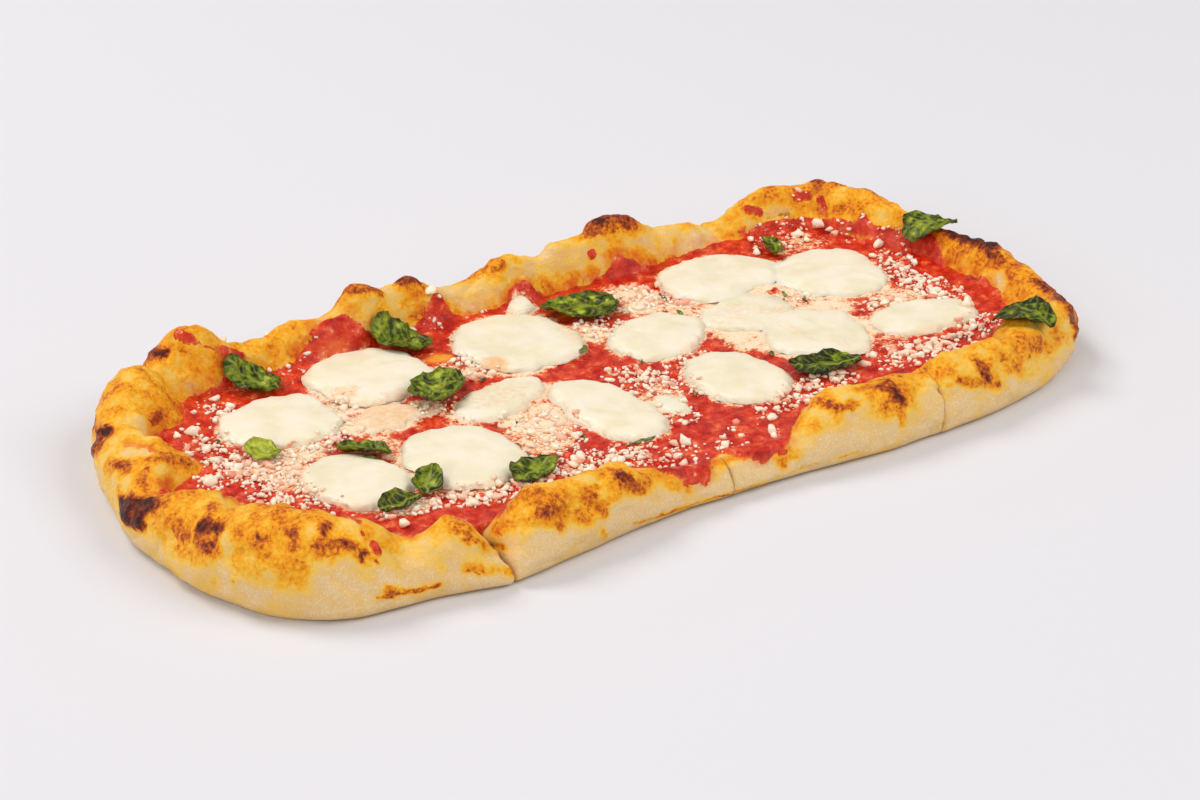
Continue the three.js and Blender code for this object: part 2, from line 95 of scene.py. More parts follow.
# Toast on the dough, and painted shade along the foot of the near side: from x, y, z to x, y, z, radius,
# darkness from 0.4 golden brown to 1 black
TOAST_AND_FOOT_SHADE = [
    [44.1, 153.9, 23.7, 45.2, 150.2, 24.8, 2.9, 0.85],
    [46.8, 149.6, 26, 50.8, 147, 25.6, 1.5, 0.6],
    [19.1, 135.3, 22.6, 22.4, 134.5, 24.8, 1.5, 0.65],
    [13.4, 133.7, 16.5, 12, 131.8, 14.9, 1.8, 0.8],
    [9.4, 124.3, 14.6, 11.2, 121.1, 17.8, 2.5, 0.95],
    [8.3, 124.9, 10.4, 7.7, 119.4, 14.7, 2.5, 0.9],
    [5.8, 102.3, 17.3, 6.7, 95.7, 18.8, 2.2, 0.72],
    [9.8, 89.7, 20.2, 9.8, 89.7, 20.2, 1.5, 0.75],
    [14.8, 128.8, 20.2, 24.1, 123.9, 19.9, 1.1, 0.6],
    [28.5, 123.7, 16.3, 31, 124.5, 16, 1.5, 0.85],
    [32.6, 123.9, 13.7, 33, 121.1, 9.8, 1.8, 0.6],
    [16.4, 93.5, 20, 26.5, 94.2, 14.7, 2.5, 0.66],
    [27, 92.6, 13.2, 25.7, 90, 9.8, 2.5, 0.58],
    [-0.2, 87.1, 10.4, 2.1, 70.6, 18, 2.9, 1],
    [-1.1, 81.1, 9.9, -2, 72.4, 12.1, 2.5, 1],
    [12.7, 52.3, 22.2, 10.3, 47.7, 22.1, 1.5, 0.7],
    [7, 45.9, 20.6, 7.9, 42, 21.4, 2.9, 0.86],
    [4.6, 44.8, 18.6, 4.3, 40.5, 17.3, 2.5, 0.8],
    [1.6, 55.5, 16.3, 3, 48.1, 16.6, 1.8, 0.66],
    [0.2, 50.7, 12.9, 3, 38.9, 14.8, 2.5, 0.5],
    [11.7, 25.9, 23, 12.6, 21.9, 21, 2.2, 0.62],
    [13.3, 25.2, 23.8, 13.3, 25.2, 23.8, 0.9, 0.76],
    [20.4, 20.2, 26.1, 21.9, 18.2, 26.2, 1.1, 0.74],
    [20.2, 17.1, 24.7, 19, 15, 23.1, 1.1, 0.66],
    [28.2, 13.9, 26.9, 30.4, 14.8, 27, 1.5, 0.82],
    [25, 11.3, 23.5, 34, 8.8, 22.8, 2.2, 0.66],
    [32.8, 9.7, 23.4, 33.7, 8.5, 22.4, 1.3, 0.86],
    [35.6, 5.7, 19.5, 36.9, 6.1, 20.5, 1.1, 0.85],
    [39.6, 4.2, 17.6, 39.6, 4.2, 17.6, 0.5, 0.75],
    [9.3, 23.3, 16.8, 19.5, 12.2, 20, 2.2, 0.42],
    [5.6, 27.9, 10.6, 5.6, 27.9, 10.6, 1.5, 0.5],
    # These two rows paint a thin dark line along the lower edge of the near side: partly browning of the base,
    # partly painted shade under the rim
    [38.3, 1.7, 7, 47.6, 0.6, 6.5, 0.9, 0.7],
    [47.6, 0.6, 6.5, 57.8, -0.4, 6, 0.9, 0.66],
    [40.5, 1.3, 9.8, 44.5, 0.9, 8.1, 1.1, 0.62],
    [65.1, 4.3, 20.3, 71.7, 0.8, 16.2, 1.5, 0.62],
    [66.3, 0.8, 17.3, 73.9, 1.1, 14.1, 1.1, 0.72],
    [66.6, -2.7, 8.8, 66.6, -2.7, 8.8, 0.9, 0.64],
    [69.8, -3.5, 7.5, 69.8, -3.5, 7.5, 1.1, 0.72],
    [65.6, -2.2, 9.9, 79.4, -4.1, 5.4, 1.8, 0.46],
    [81.5, 4.4, 9.2, 81.6, 0.2, 9, 0.7, 0.6],
    [92.8, -1.1, 19.1, 100.3, -0.4, 19.2, 2.2, 0.74],
    [94.7, -1.2, 18.6, 94.7, -1.2, 18.6, 1.1, 0.88],
    [97.4, -2.5, 16, 98, -3.6, 13, 0.9, 0.62],
    [111.8, 1.8, 19.7, 112.8, -0.9, 16.2, 1.8, 0.62],
    [114.4, 2.5, 20.3, 114.4, 2.5, 20.3, 1.1, 0.72],
    [113.3, -1.2, 15.6, 114, -2.3, 12.5, 1.5, 0.55],
    [123.2, 3.8, 20.5, 126.3, 2.8, 19, 1.8, 0.92],
    [124.1, 1.4, 17.9, 129.4, 1.1, 15.4, 1.8, 0.74],
    [120.8, 7, 22.2, 123.1, 5.1, 21.7, 1.5, 0.66],
    [113, -2.6, 7.9, 115, -1.9, 4.5, 1.1, 0.5],
    [140.9, 2.5, 12.4, 149.7, 3.2, 8.7, 1.8, 0.42],
    [182.6, 8.5, 10.6, 188.1, 1.9, 8.7, 2.5, 0.46],
    [182.4, 2.6, 8.6, 185.1, 1.4, 6.6, 1.8, 0.5],
    [204.6, 8.2, 21, 206.2, 5.2, 20.7, 1.5, 0.76],
    [207.5, 3.7, 19.2, 211.9, 3.1, 18.9, 1.8, 0.68],
    [212.3, 3.7, 19.6, 214.8, 2.7, 18.9, 1.5, 0.55],
    [226.2, 5.8, 21.2, 230.3, 0.7, 18.3, 1.8, 0.86],
    [229.5, 6.9, 21.7, 229.5, 3.2, 20.3, 1.5, 0.8],
    [227.5, 0.7, 18.4, 231.6, -0.4, 16.2, 1.1, 0.76],
    [228.9, -1.9, 13.3, 228.9, -1.9, 13.3, 1.1, 0.64],
    [228.4, -0.8, 15.8, 228.9, -2.7, 9.7, 1.5, 0.5],
    [218.5, 6.4, 21, 223.6, 6.6, 21.3, 1.1, 0.6],
    [264.4, 3.2, 20, 267.5, 0.6, 16.6, 2.2, 0.76],
    [265.5, 0.3, 16.5, 267.2, -0.9, 14.4, 1.5, 0.8],
    [254.5, 0.4, 16.7, 271.5, -1.1, 11.9, 1.5, 0.62],
    [276.6, 2.8, 18.7, 276.6, 2.8, 18.7, 1.1, 0.72],
    [277.1, 0.5, 14.1, 277.1, 0.5, 14.1, 1.1, 0.62],
    [251.3, 0.6, 16.4, 251.3, 0.6, 16.4, 1.1, 0.5],
    [292.2, 6.3, 17.5, 298.3, 6.3, 14.1, 2.9, 0.58],
    [307.3, 10.4, 15.6, 307.3, 10.4, 15.6, 2.2, 0.62],
    [288.7, 3.6, 15.1, 288.7, 3.6, 15.1, 1.1, 0.6],
    [328, 44, 19.5, 331, 36, 19, 2, 0.8],
    [319.4, 23.9, 20, 319.7, 17.4, 16, 1.8, 0.86],
    [322, 17.1, 12.9, 319.7, 14.8, 9.6, 1.8, 0.82],
    [331, 33, 18.5, 330, 25, 17, 2.4, 0.86],
    [330, 25, 15, 327, 18, 12, 2, 0.82],
    [329.4, 92, 21, 329.8, 78, 21.5, 3.2, 1],
    [330.4, 77.3, 21.1, 328.3, 68.6, 20.9, 2.6, 0.95],
    [328.3, 68.6, 20.9, 327.4, 62.2, 19.5, 1.6, 0.8],
    [328.8, 38.9, 17.7, 323.9, 27.6, 18.6, 2, 0.8],
    [323.9, 27.6, 18.6, 321.2, 19.6, 17.1, 2.2, 0.88],
    [321.2, 19.6, 17.1, 323.2, 17.7, 11.3, 1.8, 0.86],
    [331, 80, 21.4, 330.5, 71, 21.1, 2.2, 0.98],
    [309.1, 146, 25.4, 319, 138, 24.8, 1.8, 0.76],
    [321, 134, 24.3, 324, 124.2, 24.5, 1.5, 0.64],
    [320.3, 119.7, 23.7, 321.3, 115.2, 22.7, 1.1, 0.45],
    [214.6, 151.5, 26.8, 230, 150, 27.1, 3.2, 0.8],
    [218.2, 152, 28.1, 223.5, 151, 28.8, 2, 0.86],
    [169.7, 152.6, 23.4, 174.7, 149.6, 24.6, 2.8, 0.6],
    [136.6, 151, 26, 140.8, 150.4, 25.9, 2, 0.93],
    [112.3, 153.4, 25.3, 118.2, 150, 28.2, 2, 0.7],
    [118.3, 150, 28.4, 126.1, 149, 25.2, 2, 0.72],
    [86.1, 151.9, 21.4, 86.4, 148.3, 21.4, 1.5, 0.4],
    # These three rows paint a thin dark line along the foot of the near side, where it meets the floor: partly
    # browning of the base, partly painted shade under the rim
    [126.7, -0.2, 4.5, 149.1, 2.6, 2.4, 0.7, 0.6],
    [149.1, 2.6, 2.4, 170, 2, 2.8, 0.7, 0.6],
    [170, 2, 2.8, 212.6, -1.9, 4.5, 0.6, 0.5],
]

# Dough that stayed pale: from x, y, z to x, y, z, radius
PALE = [
    [150.9, 149.9, 20.5, 164.1, 145.4, 16.5, 4.4],
    [182.1, 147.6, 22.9, 204.4, 146.6, 21.5, 5.1],
    [236.7, 146.6, 19.5, 263.9, 147.1, 12.7, 4.4],
    [47.7, 4.7, 15.1, 62.6, 1.4, 16.8, 5.1],
    [83.5, -3.3, 10.7, 96.7, -4.5, 8.7, 5.1],
    [119.9, -2.1, 8.9, 136.5, 0.6, 7.7, 4.4],
    [168, 2, 6.2, 212.5, -1.8, 8.7, 4.4],
    [214.7, 1.5, 17.4, 220.4, -2, 10.1, 4.4],
    [242, -0.6, 14.1, 254, -1.5, 12.9, 4.4],
    [7.7, 103.2, 18.8, 14.1, 95.3, 21.3, 1.8],
    [324.6, 58.7, 15.7, 321.4, 53.2, 12.8, 1.8],
    [128.7, 149, 25.3, 131.7, 147.5, 23.2, 2.5],
    [25.9, 6.9, 14.6, 46.1, 2.2, 11.9, 4.4],
]

# Splashes of sauce on the rim: from x, y, z to x, y, z, radius, thickness
SPLASHES = [
    [52, 149.5, 29.7, 54.7, 147.2, 28.1, 2, 1.4],
    [56, 147, 27, 62, 145.3, 23, 0.9, 0.5],
    [66.2, 145.9, 21.2, 72.3, 145.9, 18.1, 3, 1],
    [11.2, 106.7, 20.4, 15.9, 95.7, 21.3, 1.8, 0.3],
    [211.3, 146.1, 20.4, 211.3, 146.1, 20.4, 2.4, 0.7],
    [281.4, 147.7, 20.6, 285.3, 145.6, 19.6, 2.6, 0.7],
    [39, 18, 25, 39.5, 15.5, 25.5, 2.5, 0.8],
    [301.6, 144.6, 21.7, 305.5, 143, 22.1, 2.4, 0.7],
    [308.2, 139.3, 20.7, 308.2, 136.8, 17.6, 2.2, 0.7],
    [313.4, 121.2, 17.8, 313.6, 116.7, 15.4, 2.8, 0.8],
    [39.1, 10.5, 24.5, 39.1, 10, 24, 1.2, 0.6],
    [41, 7, 21.1, 41.3, 5.9, 19.9, 2.2, 0.9],
    [85.4, 10.4, 15.6, 90, 20, 14, 2, 0.5],
    [84, 8, 13, 83, 5, 12, 1.2, 0.4],
    [84.5, 8, 17, 88, 13, 18, 1.8, 0.2],
    [89, 17, 17, 92, 22, 15, 2.2, 0.3],
    [277.8, 142.5, 13, 300.3, 139, 13.5, 3.2, 0.8],
    [300.3, 139, 13.5, 308.5, 131.5, 13.5, 3.2, 0.8],
    [308.5, 131.5, 13.5, 313, 120, 14.5, 3.2, 0.8],
    [313, 120, 14.5, 318.5, 109, 14.5, 3.2, 0.8],
]

# How much brighter than most a leaf is
LEAF_BRIGHTNESS = {
    "basil_04": 0.03,
    "basil_05": 0.2,
    "basil_08": -0.04,
    "basil_09": -0.02,
    "basil_10": -0.07,
    "basil_11": -0.04,
}

# Thin melted cheese over the sauce: middle x and y, half length, half width, share from 0 to 1
MELT = [
    [50, 78, 9, 14, 0.9],
    [60, 86, 12, 7, 0.8],
    [90, 106, 7, 8, 0.9],
    [86, 92, 10, 7, 0.95],
    [104, 91, 12, 6, 0.85],
    [85, 72, 5, 12, 0.7],
    [118, 78, 9, 8, 0.8],
    [134, 64, 13, 14, 0.9],
    [128, 50, 9, 10, 0.75],
    [140, 104, 10, 6, 0.9],
    [132, 114, 5, 10, 0.6],
    [171, 118, 10, 16, 0.9],
    [186, 108, 7, 9, 0.8],
    [212, 122, 12, 14, 0.9],
    [176, 56, 8, 8, 0.65],
    [222, 96, 8, 22, 0.9],
    [226, 74, 9, 10, 0.95],
    [262, 78, 12, 9, 0.95],
    [290, 72, 10, 7, 0.8],
    [256, 92, 8, 8, 0.7],
    [268, 60, 8, 8, 0.8],
    [290, 128, 14, 8, 0.45],
    [262, 46, 10, 5, 0.4],
    [72, 36, 8, 4, 0.8],
]

# Orange puddles of oil on the sauce: middle x and y, half length, half width, share from 0 to 1
OIL = [
    [132, 120, 6, 4, 1],
    [143.5, 103.5, 6, 3, 1],
    [92, 110, 4, 4, 0.8],
    [105, 140, 6, 4, 0.6],
]

# Peach stains of sauce oil on the cheese: middle x and y, half length, half width, strength
STAINS = [
    [94, 91, 13, 9, 0.75],
    [130, 84, 16, 9, 0.35],
    [143, 103, 4, 5, 1],
    [133, 118, 3, 5, 0.8],
    [90, 111, 6, 5, 0.6],
    [223, 71, 3, 4, 0.8],
    [232, 90, 12, 8, 0.3],
    [245, 84, 9, 3, 0.4],
    [176, 108, 3, 12, 0.4],
    [240, 66, 3, 12, 0.3],
    [104, 100, 8, 4, 0.5],
]

# Scatters of grated cheese: middle x and y, half length, half width, number of large crumbs. As many are small
SCATTERS = [
    [38, 114, 6, 9, 14],
    [52, 128, 5, 7, 24],
    [40, 100, 8, 10, 44],
    [36, 87, 10, 8, 62],
    [47, 80, 9, 12, 96],
    [44, 66, 9, 9, 56],
    [40, 58, 7, 5, 20],
    [62, 88, 12, 6, 56],
    [75, 90, 10, 7, 40],
    [86, 108, 5, 9, 34],
    [90, 138, 8, 9, 18],
    [70, 158, 4, 3, 3],
    [52, 52, 5, 8, 16],
    [74, 36, 12, 4, 50],
    [88, 32, 9, 5, 34],
    [102, 28, 14, 4, 54],
    [120, 30, 12, 7, 84],
    [136, 28, 11, 7, 70],
    [150, 25, 9, 6, 34],
    [156, 15, 11, 5, 22],
    [180, 18, 16, 6, 14],
    [132, 60, 9, 11, 60],
    [128, 45, 8, 6, 30],
    [112, 88, 8, 5, 24],
    [136, 108, 8, 7, 34],
    [122, 76, 8, 4, 18],
    [176, 70, 8, 9, 66],
    [184, 60, 8, 9, 56],
    [172, 44, 6, 10, 26],
    [190, 108, 7, 8, 44],
    [212, 122, 9, 9, 60],
    [221, 110, 3, 14, 26],
    [140, 148, 8, 7, 14],
    [166, 146, 6, 6, 8],
    [206, 28, 9, 4, 34],
    [222, 32, 13, 5, 56],
    [262, 35, 13, 7, 78],
    [281, 32, 11, 5, 56],
    [298, 40, 7, 5, 34],
    [296, 58, 7, 11, 56],
    [305, 70, 7, 9, 46],
    [302, 86, 5, 11, 56],
    [309, 98, 5, 7, 28],
    [317, 110, 5, 7, 14],
    [311, 126, 7, 7, 18],
    [286, 135, 9, 7, 28],
    [297, 141, 8, 4, 12],
    [258, 90, 5, 5, 14],
    [282, 71, 8, 4, 24],
    [200, 72, 8, 3, 16],
    [60, 110, 16, 16, 10],
    [245, 110, 30, 18, 10],
]

# Lone large crumbs: x, y, size
LUMPS = [
    [38.5, 117, 4.2],
    [28, 84, 5],
    [40, 88, 3.4],
    [63, 28, 3.6],
    [163, 24, 3.8],
    [155, 17, 3],
    [172, 15.5, 2.8],
    [190, 15, 3.4],
    [195, 21.5, 3.4],
    [229, 31, 3.6],
    [212, 24, 3.2],
    [304, 135, 5.4],
    [312, 110, 4],
    [303, 68, 4.4],
    [302, 50, 4.6],
    [145, 147, 4],
    [86, 153, 3],
    [294, 134, 4],
    [272, 130, 3.6],
    [70, 155, 3.6],
    [34, 118, 2.6],
]

# Scraps and stalks of herbs: x, y, length, width, turn in degrees
HERBS = [
    [127, 66, 5, 1.6, 60],
    [118, 44, 3, 1.6, 80],
    [119, 52, 2.4, 1.2, 90],
    [105, 33, 7, 2, 10],
    [139, 45, 3, 1.2, 60],
    [174, 97, 6, 3, 40],
    [186, 80, 6, 0.8, 50],
    [258, 96, 5, 1.6, 60],
    [261, 88, 4, 1.4, 75],
    [255, 92, 3, 1.2, 30],
    [222, 118, 7, 1.6, 80],
    [219, 104, 5, 1.4, 75],
    [244, 43, 6, 2, 50],
    [152, 32, 14, 1.6, 0],
    [43, 108, 3, 1.6, 80],
    [186, 50, 3, 1.2, 60],
    [74, 68, 8, 1.4, -55],
    [225, 60, 4, 1.6, 60],
    [283, 131, 5, 1.6, 65],
    [135, 98, 3, 1, 20],
]


def linear(colour):
    """Linear RGBA of an sRGB hex colour."""
    parts = [int(colour[i : i + 2], 16) / 255 for i in (1, 3, 5)]
    return [p / 12.92 if p <= 0.04045 else ((p + 0.055) / 1.055) ** 2.4 for p in parts] + [1]


def scale_for(size):
    """Scale of a noise texture with bumps of that many millimetres, as 10 / 9 for nine bumps in 10 mm."""
    return 1 / (size * MM)


def smoothstep(low, high, value):
    """0 below low, 1 above high and smooth in between. Takes numbers and arrays."""
    share = np.clip((value - low) / (high - low), 0, 1)
    return share * share * (3 - 2 * share)


def grain(points, size, shift=0.0):
    """Smooth noise from -1 to 1 at each point, with bumps of about that size."""
    offset = Vector((shift, shift * 1.7, shift * 2.3))
    return np.array([noise.noise(Vector(p) / size + offset) for p in points])


def drift(place, size):
    """Smooth noise vector at a place, with swirls of about that size."""
    at = Vector(place) / size
    return Vector([noise.noise(at + Vector((shift, 0.3, -shift))) for shift in (0.4, 31.7, 57.1)])


def blisters(points, size, shift, share):
    """Round bubbles from 0 to 1, in that share of the cells."""
    offset = Vector((shift, shift, shift))
    bubbles = []
    for p in points:
        distances, centres = noise.voronoi(Vector(p) / size + offset)
        chosen = (noise.cell(centres[0] * 3.7) * 0.5 + 0.5) < share
        bubbles.append(max(0.0, 1 - (distances[0] / 0.6) ** 2) ** 2 if chosen else 0.0)
    return np.array(bubbles)


def settled(surface, marks):
    """The marks with their ends moved to the nearest places of a surface."""
    rows = []
    for mark in marks:
        ends = [surface.find_nearest(CORNER + Vector(mark[i : i + 3]) * MM)[0] for i in (0, 3)]
        rows.append([*((ends[0] - CORNER) / MM), *((ends[1] - CORNER) / MM), *mark[6:]])
    return rows


def reach(points, marks):
    """Distance of each point from each mark's line, in radii, one row for each mark."""
    rows = []
    for mark in marks:
        first, last = np.array(mark[0:3]), np.array(mark[3:6])
        along = last - first
        share = np.clip(((points - first) @ along) / max(along @ along, 1e-9), 0, 1)
        rows.append(np.linalg.norm(points - first - share[:, None] * along, axis=1) / mark[6])
    return np.array(rows)


def inside(points, rows, soft):
    """Largest strength of the rows' ellipses at each point, fading over the given share of their size."""
    found = np.zeros(len(points))
    for x, y, long, wide, strength in rows:
        far = np.hypot((points[:, 0] - x) / long, (points[:, 1] - y) / wide)
        found = np.maximum(found, strength * (1 - smoothstep(1 - soft, 1 + soft, far)))
    return found


def spots(bm):
    """Millimetre places of a mesh's points from the corner of the dough."""
    return np.array([(v.co - CORNER) / MM for v in bm.verts])


def joined(shapes):
    """One bmesh with a copy of each shape."""
    bm = bmesh.new()
    for shape in shapes:
        mesh = bpy.data.meshes.new("part")
        shape.to_mesh(mesh)
        bm.from_mesh(mesh)
        bpy.data.meshes.remove(mesh)
    return bm


def merged(node):
    """Copy of a CAD node's mesh with its loose triangles joined."""
    bm = bmesh.new()
    bm.from_mesh(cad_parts[node].data)
    bmesh.ops.remove_doubles(bm, verts=bm.verts, dist=0.01 * MM)
    return bm


def finished_by(bm, kind, **settings):
    """The mesh after one modifier."""
    mesh = bpy.data.meshes.new("shape")
    bm.to_mesh(mesh)
    bm.free()
    holder = bpy.data.objects.new("shape", mesh)
    bpy.context.scene.collection.objects.link(holder)
    modifier = holder.modifiers.new("shape", kind)
    for name, value in settings.items():
        setattr(modifier, name, value)
    done = bmesh.new()
    done.from_object(holder, bpy.context.evaluated_depsgraph_get())
    bpy.data.objects.remove(holder)
    return done


def rounded(bm, levels, crisp=math.pi):
    """Quads where two triangles meet, then smooth division that keeps edges above the crisp angle."""
    bmesh.ops.join_triangles(
        bm, faces=bm.faces, angle_face_threshold=math.radians(40), angle_shape_threshold=math.radians(180)
    )
    crease = bm.edges.layers.float.new("crease_edge")
    for edge in bm.edges:
        edge[crease] = 0.9 if edge.calc_face_angle(0) > crisp else 0
    return finished_by(bm, "SUBSURF", levels=levels, render_levels=levels)


def push(bm, amounts):
    """Moves each point along its normal by an amount in millimetres."""
    bm.normal_update()
    moves = [v.normal * float(a) * MM for v, a in zip(bm.verts, amounts)]
    for v, move in zip(bm.verts, moves):
        v.co += move


def piece(bm, name, material, replaced, slot, **fields):
    """Mesh object with smooth faces and one attribute for each field, riding on the CAD body."""
    mesh = bpy.data.meshes.new(name)
    bm.normal_update()
    for face in bm.faces:
        face.smooth = True
    bm.to_mesh(mesh)
    bm.free()
    for field, values in fields.items():
        attribute = mesh.attributes.new(field, "FLOAT", "POINT")
        attribute.data.foreach_set("value", np.asarray(values, np.float32))
    mesh.materials.append(material)
    made = bpy.data.objects.new(name, mesh)
    bpy.context.scene.collection.objects.link(made)
    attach(made, "root")
    if replaced:
        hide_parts(*replaced)


def put(tree, kind, inputs=None, **settings):
    """Adds a shader node with its settings. An input is a value or another node's output."""
    made = tree.nodes.new("ShaderNode" + kind)
    for name, value in settings.items():
        setattr(made, name, value)
    for name, value in (inputs or {}).items():
        if isinstance(value, bpy.types.NodeSocket):
            tree.links.new(value, made.inputs[name])
        else:
            made.inputs[name].default_value = value
    return made


def new_material(name):
    """New material with its tree, its surface shader and its object coordinates."""
    material = bpy.data.materials.new(name)
    material.use_nodes = True
    tree = material.node_tree
    shader = tree.nodes["Principled BSDF"]
    place = put(tree, "TexCoord").outputs["Object"]
    return material, tree, shader, place


def stops(ramp, rows):
    """Sets a colour ramp's stops from rows of position and hex colour."""
    elements = ramp.color_ramp.elements
    for index, (position, colour) in enumerate(rows):
        element = elements[index] if index < 2 else elements.new(position)
        element.position = position
        element.color = linear(colour)


def baked_dough():
    """Wheat dough baked in a hot oven: floury and pale low down, golden on top, charred on its bubbles."""
    material, tree, shader, place = new_material("Wheat_dough_baked")
    # This attribute holds the baking, with paler patches that partly paint highlights and a dark line along the
    # foot that partly paints shade
    bake = put(tree, "Attribute", attribute_name="bake").outputs["Fac"]
    smear = put(tree, "Attribute", attribute_name="smear").outputs["Fac"]
    # Toast comes in flecks of about 1.3 mm and clouds of about 5 mm
    flecks = put(
        tree, "TexNoise", {"Vector": place, "Scale": scale_for(10 / 7.8), "Detail": 3, "Roughness": 0.6}
    ).outputs["Fac"]
    clouds = put(
        tree, "TexNoise", {"Vector": place, "Scale": scale_for(10 / 1.9), "Detail": 3, "Roughness": 0.55}
    ).outputs["Fac"]
    strength = put(
        tree, "MapRange", {"Value": bake, "From Min": 0.15, "From Max": 0.6, "To Min": 0.3, "To Max": 0.75}
    ).outputs["Result"]
    fleck = put(tree, "Math", {0: flecks, 1: 0.5}, operation="SUBTRACT").outputs[0]
    cloud = put(tree, "Math", {0: clouds, 1: 0.5}, operation="SUBTRACT").outputs[0]
    both = put(tree, "Math", {0: cloud, 1: 0.7, 2: fleck}, operation="MULTIPLY_ADD").outputs[0]
    depth = put(tree, "Math", {0: both, 1: strength, 2: bake}, operation="MULTIPLY_ADD").outputs[0]
    ramp = put(tree, "ValToRGB", {"Fac": depth})
    stops(
        ramp,
        [
            (0.0, "#f2cf94"),
            (0.16, "#f5c878"),
            (0.28, "#fccd5c"),
            (0.4, "#ffb822"),
            (0.52, "#f59a10"),
            (0.62, "#d06a16"),
            (0.74, "#943a12"),
            (0.86, "#521c12"),
            (1.0, "#260f12"),
        ],
    )
    # Semolina grains of about 0.5 mm on what stayed pale
    grit = put(tree, "TexNoise", {"Vector": place, "Scale": scale_for(0.5), "Detail": 2}).outputs["Fac"]
    floury = put(
        tree, "MapRange", {"Value": depth, "From Min": 0.3, "From Max": 0.05, "To Min": 0, "To Max": 0.75}
    ).outputs["Result"]
    specks = put(tree, "MapRange", {"Value": grit, "From Min": 0.52, "From Max": 0.66}).outputs["Result"]
    dust = put(tree, "Math", {0: floury, 1: specks}, operation="MULTIPLY").outputs[0]
    pale = put(
        tree, "Mix", {"Factor": dust, 6: ramp.outputs["Color"], 7: linear("#f8e6c8")}, data_type="RGBA"
    ).outputs[2]
    # Dark specks of about 0.8 mm where the crust is toasted
    fine = put(tree, "TexNoise", {"Vector": place, "Scale": scale_for(0.8), "Detail": 2}).outputs["Fac"]
    speck = put(tree, "MapRange", {"Value": fine, "From Min": 0.6, "From Max": 0.68}).outputs["Result"]
    toasted = put(
        tree, "MapRange", {"Value": depth, "From Min": 0.42, "From Max": 0.6, "To Max": 0.5}
    ).outputs["Result"]
    speckled = put(tree, "Math", {0: speck, 1: toasted}, operation="MULTIPLY").outputs[0]
    brown = put(
        tree, "Mix", {"Factor": speckled, 6: pale, 7: linear("#7c3214")}, data_type="RGBA"
    ).outputs[2]
    # Sauce that has soaked in beside the pool
    blot = put(tree, "Math", {0: cloud, 1: 6, 2: 0.7}, operation="MULTIPLY_ADD").outputs[0]
    stained = put(tree, "Math", {0: blot, 1: smear}, operation="MULTIPLY", use_clamp=True).outputs[0]
    colour = put(
        tree, "Mix", {"Factor": stained, 6: brown, 7: linear("#e2561c")}, data_type="RGBA"
    ).outputs[2]
    # Floury dough is matt, and golden dough has a skin of oil
    rough = put(
        tree,
        "MapRange",
        {"Value": depth, "From Min": 0.15, "From Max": 0.42, "To Min": 0.78, "To Max": 0.36},
    ).outputs["Result"]
    crumb = put(
        tree, "TexNoise", {"Vector": place, "Scale": scale_for(2), "Detail": 6, "Roughness": 0.7}
    ).outputs["Fac"]
    bump = put(tree, "Bump", {"Height": crumb, "Strength": 0.9, "Distance": 1.2 * MM})
    tree.links.new(colour, shader.inputs["Base Color"])
    tree.links.new(rough, shader.inputs["Roughness"])
    tree.links.new(bump.outputs["Normal"], shader.inputs["Normal"])
    shader.inputs["Subsurface Weight"].default_value = 0.12
    shader.inputs["Subsurface Radius"].default_value = (1, 0.5, 0.2)
    shader.inputs["Subsurface Scale"].default_value = 2.5 * MM
    shader.inputs["Specular IOR Level"].default_value = 0.2
    return material


